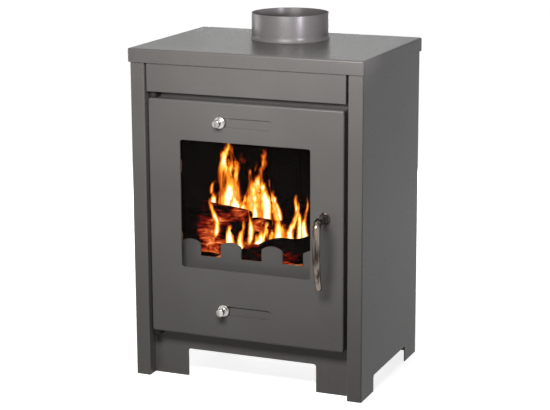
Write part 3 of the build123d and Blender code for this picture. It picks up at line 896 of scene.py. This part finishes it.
@dataclass(frozen=True)
class LeverHandle:
    """Bent polished bar with a flared foot, and the round seat it turns on.

    Attributes:
        radius: radius of the bar in metres.
        end_radius: radius of the bar at its lower end.
        flare: radius of the foot.
        flare_length: length over which the foot narrows.
        bend: radius of the elbow at the middle of the bar.
        straight: drop from the spindle to the end of the straight grip.
        curve: radius of the long inward curve.
        tail: height of the end of the bar's middle line over its lowest point.
        seat_edge: rounding of the seat.
        seat_bore: share of the seat's radius that its hole takes.
    """

    radius: float = 7.5 * MM
    end_radius: float = 5.7 * MM
    flare: float = 10.6 * MM
    flare_length: float = 9 * MM
    bend: float = 15 * MM
    straight: float = 46 * MM
    curve: float = 230 * MM
    tail: float = 2 * MM
    seat_edge: float = 1.4 * MM
    seat_bore: float = 0.5

    # Points on the stem, the elbow, the grip and the curl.
    STEM, ELBOW, GRIP, CURL = 14, 14, 7, 24
    # Powers that shape the foot and the crown, and the width and depth of the foot's closing face.
    FOOT_POWER, CROWN_POWER, CAP, CAP_DEPTH = 1.6, 3, 0.97, 0.02 * MM

    def path(self, drop: float, out: float, start: float) -> np.ndarray:
        """Middle line of the bar as distance out from the face and height over the spindle.

        Args:
            drop: how far the end hangs under the spindle.
            out: distance of the grip from the face.
            start: distance of the foot from the face.

        Returns:
            The points of the line: stem, elbow, straight grip and long curve.
        """
        turn = math.asin((drop - self.straight) / self.curve)
        stem = np.stack([np.linspace(start, out - self.bend, self.STEM), np.zeros(self.STEM)], -1)
        a = np.linspace(0.0, math.pi / 2, self.ELBOW)[1:]
        elbow = np.stack([out - self.bend + self.bend * np.sin(a), -self.bend + self.bend * np.cos(a)], -1)
        down = np.linspace(-self.bend, -self.straight, self.GRIP)[1:]
        grip = np.stack([np.full_like(down, out), down], -1)
        b = np.linspace(0.0, turn, self.CURL)[1:]
        inward = out - self.curve + self.curve * np.cos(b)
        curl = np.stack([inward, -self.straight - self.curve * np.sin(b)], -1)
        return np.concatenate([stem, elbow, grip, curl])

    def make(self, metal: Material) -> None:
        """Builds the bar and its seat in the space of their frame nodes.

        Args:
            metal: finish of both pieces.
        """
        low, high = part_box("handle_lever")
        seat_low, seat_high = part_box("handle_rosette")
        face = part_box("door_panel")[0].y
        spindle = Vector(((low.x + high.x) / 2, face, (seat_low.z + seat_high.z) / 2))
        out = face - low.y - self.radius
        line = self.path(spindle.z - low.z - self.tail, out, face - high.y)
        _, length = along(line)
        radius = np.full(len(line), self.radius)
        foot = np.clip(1.0 - length / self.flare_length, 0.0, 1.0)
        radius += (self.flare - self.radius) * foot**self.FOOT_POWER
        half = length[-1] / 2
        lower = np.clip((length - half) / half, 0.0, 1.0)
        radius -= (self.radius - self.end_radius) * lower
        crown = np.clip((length - length[-1] + self.end_radius) / self.end_radius, 0.0, 1.0)
        radius *= np.sqrt(np.clip(1.0 - crown**self.CROWN_POWER, 0.0, 1.0))
        radius[0] = 0.0
        line = np.insert(line, 1, line[0], axis=0)
        radius = np.insert(radius, 1, self.flare * self.CAP)
        path = np.stack([np.full(len(line), spindle.x), face - line[:, 0], spindle.z + line[:, 1]], -1)
        path[1, 1] -= self.CAP_DEPTH
        bar = tube("handle_bar", path, Vector((1, 0, 0)), radius, metal)
        thick = seat_high.y - seat_low.y
        wide = (seat_high.x - seat_low.x) / 2
        bore = self.seat_bore * wide
        ring = rounded([(bore, 0.0), (wide, 0.0), (wide, thick), (bore, thick)], self.seat_edge, loop=True)
        seat = lathe("handle_seat", spindle, Vector((0, -1, 0)), ring, metal, loop=True)
        for piece, node, body in ((bar, "handle_lever", Body.HANDLE), (seat, "handle_rosette", Body.DOOR)):
            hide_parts(node)
            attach(piece, body.value)


@dataclass(frozen=True)
class RopeSeal:
    """Woven rope pressed into the channel round the back of the door.

    Attributes:
        corner: radius of the corners at the middle of the rope, in metres.
        strands: ridges of the weave round the rope.
        pitch: repeats of the weave for each metre.
        ridge: height of the ridges as a share of the rope's radius.
    """

    corner: float = 22 * MM
    strands: int = 8
    pitch: float = 110.0
    ridge: float = 0.06

    # Points along the rope, round it and on each corner.
    ALONG, AROUND, CORNER = 900, 32, 16

    def make(self, fibre: Material) -> None:
        """Carries a ridged circle round the rounded rectangle.

        The radius is R * (1 - ridge + ridge * c), where c is the larger |cos| of the two crossed windings.

        Args:
            fibre: finish of the rope.
        """
        low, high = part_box("door_seal")
        thick = (high.y - low.y) / 2
        half = (high.x - low.x) / 2 - thick
        middle = (low.y + high.y) / 2
        tall = (low.z + thick, high.z - thick)
        quarter = np.linspace(0.0, math.pi / 2, self.CORNER)
        corners = ((half, tall[1], 0), (-half, tall[1], 1), (-half, tall[0], 2), (half, tall[0], 3))
        arcs = []
        for x, z, turn in corners:
            a = quarter + turn * math.pi / 2
            inset = self.corner if turn > 1 else -self.corner
            centre = np.array([x - math.copysign(self.corner, x), z + inset])
            arcs.append(centre + self.corner * np.stack([np.cos(a), np.sin(a)], -1))
        ring = np.concatenate(arcs)
        closed = np.concatenate([ring, ring[:1]])
        gone = np.concatenate([[0.0], np.cumsum(np.linalg.norm(np.diff(closed, axis=0), axis=1))])
        even = np.linspace(0.0, gone[-1], self.ALONG, endpoint=False)
        x, z = (np.interp(even, gone, closed[:, i]) for i in range(2))
        path = np.stack([x, np.full_like(x, middle), z], -1)
        pairs = self.strands / 2
        u = pairs * np.linspace(0.0, 2 * math.pi, self.AROUND, endpoint=False)[None, :]
        winding = 2 * math.pi * self.pitch / pairs * even[:, None]
        crest = np.maximum(np.abs(np.cos(u + winding)), np.abs(np.cos(u - winding)))
        radius = thick * (1 - self.ridge + self.ridge * crest)
        turns = (pairs, self.pitch)
        piece = tube("rope_seal_woven", path, Vector((0, 1, 0)), radius, fibre, loop=True, turns=turns)
        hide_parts("door_seal")
        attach(piece, Body.DOOR.value)


@dataclass(frozen=True)
class Sight:
    """Direction in which the stove is looked at, from in front and somewhat from the right.

    Attributes:
        heading: degrees round from straight in front.
        pitch: degrees down from level.
        roll: degrees that the picture leans.
    """

    heading: float = 21.966
    pitch: float = 13.092
    roll: float = -0.145

    def ahead(self) -> Vector:
        """Unit direction from the eye to the stove."""
        h, p = math.radians(self.heading), math.radians(self.pitch)
        return Vector((-math.sin(h) * math.cos(p), math.cos(h) * math.cos(p), -math.sin(p)))

    def through(self, x: float, z: float, depth: float) -> Vector:
        """Place behind a point of the window, on the line of sight.

        Args:
            x: place across the window plane in millimetres.
            z: height in the window plane in millimetres.
            depth: distance behind the window plane in millimetres.

        Returns:
            The place in metres.
        """
        ahead = self.ahead()
        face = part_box("door_glass")[0].y
        step = ahead * (depth * MM / ahead.y)
        return Vector((x * MM, face, z * MM)) + step


@dataclass(frozen=True)
class Log:
    """One burning log, placed by where it shows in the window.

    Attributes:
        name: name of the piece.
        start: x and height of its first end in the window plane, in millimetres.
        end: x and height of its second end.
        depth: distance of each end behind the glass.
        radius: radius in millimetres.
        heat: share that glows.
        seed: number that fixes its shape.
    """

    name: str
    start: Pair
    end: Pair
    depth: Pair
    radius: float
    heat: float
    seed: int

    # Points along and round the log, and its surface waves as windings and share of the radius.
    ROWS, COLUMNS = 70, 56
    WAVES = ((1, 0.07), (2, 0.06), (3, 0.06), (5, 0.035), (9, 0.022), (14, 0.014))
    # Depth of the bend as a share of the radius, half waves along the log, and length and power of the ends.
    BEND, HALF_WAVES, STUMP, STUMP_POWER = 0.12, 2.6, 0.55, 2.4

    def make(self, sight: Sight) -> None:
        """Carries a rough circle along a slightly bent line.

        The radius is R times one plus a few seeded sine waves round and along the log. It falls to nothing
        over each end as a rounded stump.

        Args:
            sight: direction of view that places the log.
        """
        rng = np.random.default_rng(self.seed)
        first = np.array(sight.through(*self.start, self.depth[0]))
        last = np.array(sight.through(*self.end, self.depth[1]))
        s = np.linspace(0.0, 1.0, self.ROWS)
        radius = self.radius * MM
        length = np.linalg.norm(last - first)
        path = first + s[:, None] * (last - first)
        path[:, 2] += self.BEND * radius * np.sin(self.HALF_WAVES * math.pi * s + rng.uniform(0, 6))
        u = np.linspace(0.0, 2 * math.pi, self.COLUMNS, endpoint=False)
        wave = np.zeros((self.ROWS, self.COLUMNS))
        for turns, amount in self.WAVES:
            phase, drift = rng.uniform(0, 6), rng.uniform(-9, 9)
            wave += amount * np.sin(turns * u[None, :] + phase + drift * s[:, None])
        stump = np.clip(np.minimum(s, 1 - s) * length / (self.STUMP * radius), 0.0, 1.0)
        rim = radius * (1 + wave) * np.sqrt(1 - (1 - stump[:, None]) ** self.STUMP_POWER)
        flat = Vector(np.cross(last - first, (0.0, 0.0, 1.0)))
        finish = BurningWood(self.name + "_finish", heat=self.heat).make()
        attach(tube(self.name, path, flat, rim, finish), Body.ROOT.value)


@dataclass(frozen=True)
class Flame:
    """One tongue of flame, placed by where it shows in the window.

    Attributes:
        name: name of the piece.
        foot: x and height of its foot in the window plane, in millimetres.
        tip: x and height of its tip.
        width: full width at its widest, in millimetres.
        depth: distance behind the glass.
        sway: how far its middle line bends sideways, in millimetres.
    """

    name: str
    foot: Pair
    tip: Pair
    width: float
    depth: float
    sway: float = 0.0

    # Points up and across the sheet, the shares of its half width, its half waves and how far it bows.
    ROWS, COLUMNS = 40, 21
    STRAIGHT, BELLY, TAPER = 0.62, 0.9, 0.16
    HALF_WAVES, BOW = 1.7, 0.45

    def make(self, sight: Sight, light: Material) -> None:
        """Builds a curved sheet.

        Its middle line runs from foot to tip in a slight wave. Its half width is a fixed share, a belly that
        is fullest halfway up and a part that shrinks upward. It bows toward the eye across its width.

        Args:
            sight: direction of view that places and turns the flame.
            light: glowing finish.
        """
        foot = np.array(sight.through(*self.foot, self.depth))
        tip = np.array(sight.through(*self.tip, self.depth))
        ahead = np.array(sight.ahead())
        side = np.cross(ahead, (0.0, 0.0, 1.0))
        side /= np.linalg.norm(side)
        away = np.array((ahead[0], ahead[1], 0.0)) / math.hypot(ahead[0], ahead[1])
        v = np.linspace(0.0, 1.0, self.ROWS)[:, None, None]
        u = np.linspace(-1.0, 1.0, self.COLUMNS)[None, :, None]
        half = self.width * MM / 2 * (self.STRAIGHT + self.BELLY * v * (1 - v) + self.TAPER * (1 - v))
        middle = foot + v * (tip - foot) + side * self.sway * MM * np.sin(math.pi * self.HALF_WAVES * v)
        points = middle + side * u * half + away * half * self.BOW * u**2
        uv = np.stack(np.broadcast_arrays(0.5 + 0.5 * u[..., 0], v[..., 0]), -1)
        faces = grid_faces(self.ROWS, self.COLUMNS, wrap_columns=False)
        piece = build(self.name, points, faces, light, uv=uv, weld=False)
        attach(piece, Body.ROOT.value)


@dataclass(frozen=True)
class LogFire:
    """Logs, embers and flames on the grate, laid out as they show through the window.

    Attributes:
        sight: direction of view that the fire is laid out for.
    """

    sight: Sight

    LOGS = (
        Log("log_glowing_left", (-140, 346), (10, 326), (84, 112), 17, 0.50, 3),
        Log("log_low_left", (-140, 306), (6, 300), (80, 96), 16, 0.18, 8),
        Log("log_front_right", (10, 250), (150, 290), (96, 74), 25, 0.04, 5),
        Log("log_middle_right", (6, 318), (146, 318), (128, 118), 13, 0.62, 12),
        Log("log_end_on", (92, 366), (112, 350), (150, 235), 17, 0.06, 21),
        Log("log_back", (-70, 342), (80, 336), (170, 180), 15, 0.45, 30),
        Log("log_split_low", (-104, 270), (24, 262), (104, 84), 15, 0.40, 41),
    )
    FLAMES = (
        Flame("flame_tall_left", (-39, 308), (-42, 486), 84, 134, 3),
        Flame("flame_tall_left_core", (-38, 316), (-38, 462), 74, 131, -3),
        Flame("flame_tall_left_back", (-32, 320), (-26, 468), 76, 142, -6),
        Flame("flame_tall_middle", (14, 304), (26, 484), 66, 140, -5),
        Flame("flame_tall_middle_core", (8, 298), (18, 444), 46, 137, 3),
        Flame("flame_tall_middle_back", (32, 306), (34, 446), 50, 146, 6),
        Flame("flame_right_shoulder", (54, 306), (58, 420), 36, 144, 9),
        Flame("flame_left_curl", (-90, 326), (-62, 402), 42, 126, 8),
        Flame("flame_left_low", (-66, 286), (-70, 366), 30, 60, 4),
        Flame("flame_low_white", (-39, 262), (-38, 336), 40, 74, 2),
        Flame("flame_low_second", (-12, 262), (-10, 326), 26, 76, -2),
        Flame("flame_between", (4, 276), (4, 366), 26, 84, 3),
        Flame("flame_low_middle", (22, 252), (34, 326), 54, 108, -3),
        Flame("flame_low_right", (44, 258), (52, 342), 48, 112, 2),
        Flame("flame_bright_right", (63, 270), (64, 392), 56, 100, 3),
        Flame("flame_right_curl", (92, 282), (100, 372), 30, 98, -6),
        Flame("flame_right_lick", (106, 286), (104, 390), 28, 104, 4),
        Flame("flame_far_right", (124, 290), (118, 384), 30, 102, -5),
        Flame("flame_glow_band", (-14, 316), (-10, 376), 160, 132, 0),
        Flame("flame_ember_band", (-30, 250), (-26, 310), 130, 108, 0),
    )

    # The ember bed: points across and back, the gap to the grate's edge, how steeply the rim falls, how far
    # the bed sinks into the grate, and the heights of mound, lumps and grains.
    COLUMNS, ROWS = 90, 70
    GAP, STEEP, SUNK = 4 * MM, 9, 1 * MM
    MOUND, LUMPS, GRAINS = 9, 9, 4
    BED = BurningWood("ember_bed_finish", (0.03, 0.010, 0.007), (0.30, 0.13, 0.09), heat=0.55, light=0.60)

    def embers(self) -> None:
        """Builds the ember bed: a mound on the grate, a few sine waves high, that falls away at its rim."""
        low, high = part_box("grate")
        x = np.linspace(low.x + self.GAP, high.x - self.GAP, self.COLUMNS)[None, :]
        y = np.linspace(low.y + self.GAP, high.y - self.GAP, self.ROWS)[:, None]
        across = (x - x.min()) / (x.max() - x.min())
        deep = (y - y.min()) / (y.max() - y.min())
        inward = np.minimum(np.minimum(across, 1 - across), np.minimum(deep, 1 - deep))
        edge = np.clip(inward * self.STEEP, 0, 1)
        lumps = 0.5 + 0.5 * np.sin(310 * x + 2 * np.sin(170 * y)) * np.sin(290 * y + 2 * np.sin(150 * x))
        fine = 0.5 + 0.5 * np.sin(720 * x + 1.3) * np.sin(650 * y + 3 * np.sin(400 * x))
        swell = self.MOUND + self.LUMPS * lumps + self.GRAINS * fine
        points = np.stack(np.broadcast_arrays(x, y, high.z - self.SUNK + np.sqrt(edge) * MM * swell), -1)
        faces = grid_faces(self.ROWS, self.COLUMNS, wrap_columns=False)
        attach(build("ember_bed", points, faces, self.BED.make(), weld=False), Body.ROOT.value)

    def make(self) -> None:
        """Builds the embers, the logs and the flames."""
        self.embers()
        for item in self.LOGS:
            item.make(self.sight)
        light = FlameLight().make()
        for tongue in self.FLAMES:
            tongue.make(self.sight, light)


FINISHES: tuple[Coat | Paint | PolishedMetal | Glass | Rope, ...] = (
    Paint(),
    # Black paint; the hinge parts in the gap over the door take it from their slot so that they stay dark
    # there, partly painted shade.
    Coat("black_stove_paint", (0.016, 0.015, 0.014), (0.010, 0.009, 0.009), smooth=0.55, rough=0.75,
         patch=9.0, scuff=(0.05, 0.045, 0.04), worn=0.03, soot=0.12, shine=0.25),
    Coat("ash_pan_steel", (0.30, 0.30, 0.29), (0.20, 0.19, 0.18), metal=0.8, smooth=0.35, rough=0.6,
         patch=24.0, scuff=(0.16, 0.14, 0.12), worn=0.06, soot=0.10),
    Coat("cast_grate", (0.030, 0.028, 0.026), (0.055, 0.045, 0.040), smooth=0.7, rough=0.9, patch=30.0,
         grain=500.0, relief=0.0003, scuff=(0.16, 0.12, 0.10), worn=0.05, soot=0.15),
    # Firebox boards: soot black, set darker still so that the inside of the firebox is as dark as its shade,
    # partly painted shade.
    Coat("fire_board", (0.0026, 0.0019, 0.0016), (0.0012, 0.001, 0.0009), smooth=0.85, rough=0.95,
         patch=11.0, grain=420.0, relief=0.0004, scuff=(0.008, 0.006, 0.005), worn=0.03, soot=0.22,
         shine=0.02),
    Coat("plated_steel", (0.46, 0.45, 0.42), (0.36, 0.35, 0.33), metal=0.95, smooth=0.28, rough=0.42,
         patch=60.0, scuff=(0.20, 0.18, 0.15), worn=0.05),
    Glass(),
    Rope(),
    # Polished metals for the handle and the knobs: the second colour of each is painted reflection streaks,
    # and the handle's dark default colour is painted reflection too.
    PolishedMetal(),
    PolishedMetal("bright_knob_steel", (0.66, 0.64, 0.61), (0.36, 0.34, 0.32)),
)


@dataclass(frozen=True)
class Casing:
    """All the frame nodes that are shown as they are, each in the finish of its slot.

    Attributes:
        finishes: material for each slot name.
    """

    finishes: dict[str, Material]

    def dress(self, nodes: dict[str, Item], slots: dict[str, str]) -> None:
        """Gives each frame node its finish.

        Args:
            nodes: the frame's objects by node name.
            slots: slot name for each node.
        """
        for name, item in nodes.items():
            item.data.materials[0] = self.finishes[slots[name]]
            log.info("%s: %s", name, slots[name])


@dataclass(frozen=True)
class Softbox:
    """Soft lamp in the shape of a rectangle.

    Attributes:
        name: name of the lamp.
        place: where it hangs, in metres.
        aim: point it faces.
        size: width and height in metres.
        power: power in watts.
        colour: colour of its light.
        spread: angle over which it shines, in degrees.
    """

    name: str
    place: Triple
    aim: Triple
    size: Pair
    power: float
    colour: Colour = (1.0, 1.0, 1.0)
    spread: float = 180.0

    def make(self) -> None:
        """Hangs the lamp and turns it to its aim."""
        data = bpy.data.lights.new(self.name, "AREA")
        data.shape = "RECTANGLE"
        data.size, data.size_y = self.size
        data.energy = self.power
        data.color = self.colour
        data.spread = math.radians(self.spread)
        lamp = bpy.data.objects.new(self.name, data)
        lamp.location = self.place
        lamp.rotation_euler = (Vector(self.aim) - Vector(self.place)).to_track_quat("-Z", "Y").to_euler()
        lamp.visible_camera = False
        bpy.context.scene.collection.objects.link(lamp)


@dataclass(frozen=True)
class Studio:
    """White room, lamps and camera.

    Attributes:
        sight: direction of view.
    """

    sight: Sight

    LAMPS = (
        Softbox("key_box", (0.10, -0.80, 0.85), (0.0, -0.10, 0.56), (0.50, 0.26), 10.2, (1.0, 0.985, 0.965)),
        Softbox("side_box", (1.2, 0.0, 1.15), (0.23, 0.05, 0.60), (0.3, 0.5), 0.2, (1.0, 0.62, 1.0)),
        Softbox("collar_strip", (0.9, -0.66, 0.76), (0.01, 0.03, 0.685), (0.04, 0.08), 0.08,
                (0.93, 0.87, 1.0), 13.0),
        Softbox("rear_fill", (-0.55, 1.8, 0.42), (0.0, 0.2, 0.34), (0.8, 0.5), 20.0),
        Softbox("left_fill", (-1.8, 0.1, 0.42), (-0.24, 0.05, 0.34), (0.9, 0.5), 12.0),
    )
    EYE = (1.2169, -2.94005, 1.0819)
    FOCAL_PIXELS = 1688.0
    CENTRE_PIXELS = (288.78, 197.08)
    PICTURE = (550, 410)
    SENSOR = 36.0
    # Light of the surroundings on the stove, as tint and strength.
    DIM_TINT, DIM = (0.96, 0.93, 0.96), 0.03
    # Floor: tone as it throws light back and as it is seen, its own glow near the stove, kept low there as
    # painted shade so that the lamps' shadow shows, the distances over which that glow rises to white, half
    # its width in metres, and points along its edge.
    FLOOR_BOUNCE, FLOOR_SEEN = (0.20, 0.20, 0.20), (0.85, 0.85, 0.85)
    FLOOR_SHADED_GLOW = 0.84
    SHADOW_REACH = (0.45, 1.3)
    FLOOR_REACH, FLOOR_POINTS = 40.0, 5

    def camera(self) -> None:
        """Sets the camera from its place, its direction and its focal length in pixels."""
        width, height = self.PICTURE
        data = bpy.data.cameras.new("camera")
        data.sensor_width = self.SENSOR
        data.lens = self.FOCAL_PIXELS / width * self.SENSOR
        data.shift_x = (width / 2 - self.CENTRE_PIXELS[0]) / width
        data.shift_y = (self.CENTRE_PIXELS[1] - height / 2) / width
        eye = bpy.data.objects.new("camera", data)
        ahead = self.sight.ahead()
        right = ahead.cross(Vector((0, 0, 1))).normalized()
        up = right.cross(ahead)
        lean = math.radians(self.sight.roll)
        right, up = right * math.cos(lean) + up * math.sin(lean), up * math.cos(lean) - right * math.sin(lean)
        turn = Matrix((right, up, -ahead)).transposed().to_4x4()
        eye.matrix_world = Matrix.Translation(self.EYE) @ turn
        scene = bpy.context.scene
        scene.collection.objects.link(eye)
        scene.camera = eye
        scene.view_settings.view_transform = "Standard"

    def world(self) -> None:
        """Makes the surroundings white to the eye and in reflections, and dim as a source of light."""
        g = Graph("studio", world=True)
        bpy.context.scene.world = g.owner
        soft = g.add("ShaderNodeBackground", {"Color": self.DIM_TINT, "Strength": self.DIM}).outputs[0]
        white = g.add("ShaderNodeBackground", {"Color": (1.0, 1.0, 1.0), "Strength": 1.0}).outputs[0]
        mix = g.add("ShaderNodeMixShader", {0: g.looked_at(), 1: soft, 2: white}).outputs[0]
        g.feed(g.output.inputs["Surface"], mix)

    def floor(self) -> None:
        """Lays a floor past the picture that looks white, keeps the shadow, is painted darker near the stove
        and throws little light.
        """
        g = Graph("studio_floor")
        path = g.add("ShaderNodeLightPath").outputs
        tone = g.blend(path["Is Camera Ray"], self.FLOOR_BOUNCE, self.FLOOR_SEEN)
        shade = g.add("ShaderNodeBsdfDiffuse", {"Color": tone}).outputs[0]
        far = g.add("ShaderNodeVectorMath", {0: g.place}, operation="LENGTH").outputs["Value"]
        # Painted shade: the floor's own glow is lower near the stove, so the floor there shows darker
        # wherever the lamps leave it.
        level = g.ramp(far, *self.SHADOW_REACH, self.FLOOR_SHADED_GLOW, 1.0)
        glow = g.add("ShaderNodeEmission", {"Strength": g.join("MULTIPLY", g.looked_at(), level)}).outputs[0]
        g.feed(g.output.inputs["Surface"], g.add("ShaderNodeAddShader", {0: shade, 1: glow}).outputs[0])
        line = np.linspace(-self.FLOOR_REACH, self.FLOOR_REACH, self.FLOOR_POINTS)
        points = np.stack(np.broadcast_arrays(line[None, :], line[:, None], 0.0), -1)
        faces = grid_faces(self.FLOOR_POINTS, self.FLOOR_POINTS, wrap_columns=False)
        floor = build("studio_floor", points, faces, g.owner, weld=False)

    def make(self) -> None:
        """Sets up the room, the lamps and the camera."""
        self.world()
        self.floor()
        for lamp in self.LAMPS:
            lamp.make()
        self.camera()


def main() -> None:
    """Builds every piece in order."""
    logging.basicConfig(level=logging.INFO, format="%(message)s")
    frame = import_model()
    slots = {name: item.data.materials[0].name for name, item in frame["nodes"].items()}
    for old in bpy.data.materials:
        old.name = old.name + "_plain"
    finishes = {finish.name: finish.make() for finish in FINISHES}
    Casing(finishes).dress(frame["nodes"], slots)
    FlueCollar().make(finishes["grey_stove_paint"])
    SliderKnob().make("air_knob_upper", Body.UPPER_SLIDER, finishes["bright_knob_steel"])
    SliderKnob().make("air_knob_lower", Body.LOWER_SLIDER, finishes["bright_knob_steel"])
    LeverHandle().make(finishes["polished_chrome"])
    RopeSeal().make(finishes["seal_rope"])
    sight = Sight()
    LogFire(sight).make()
    Studio(sight).make()


if __name__ == "__main__":
    main()
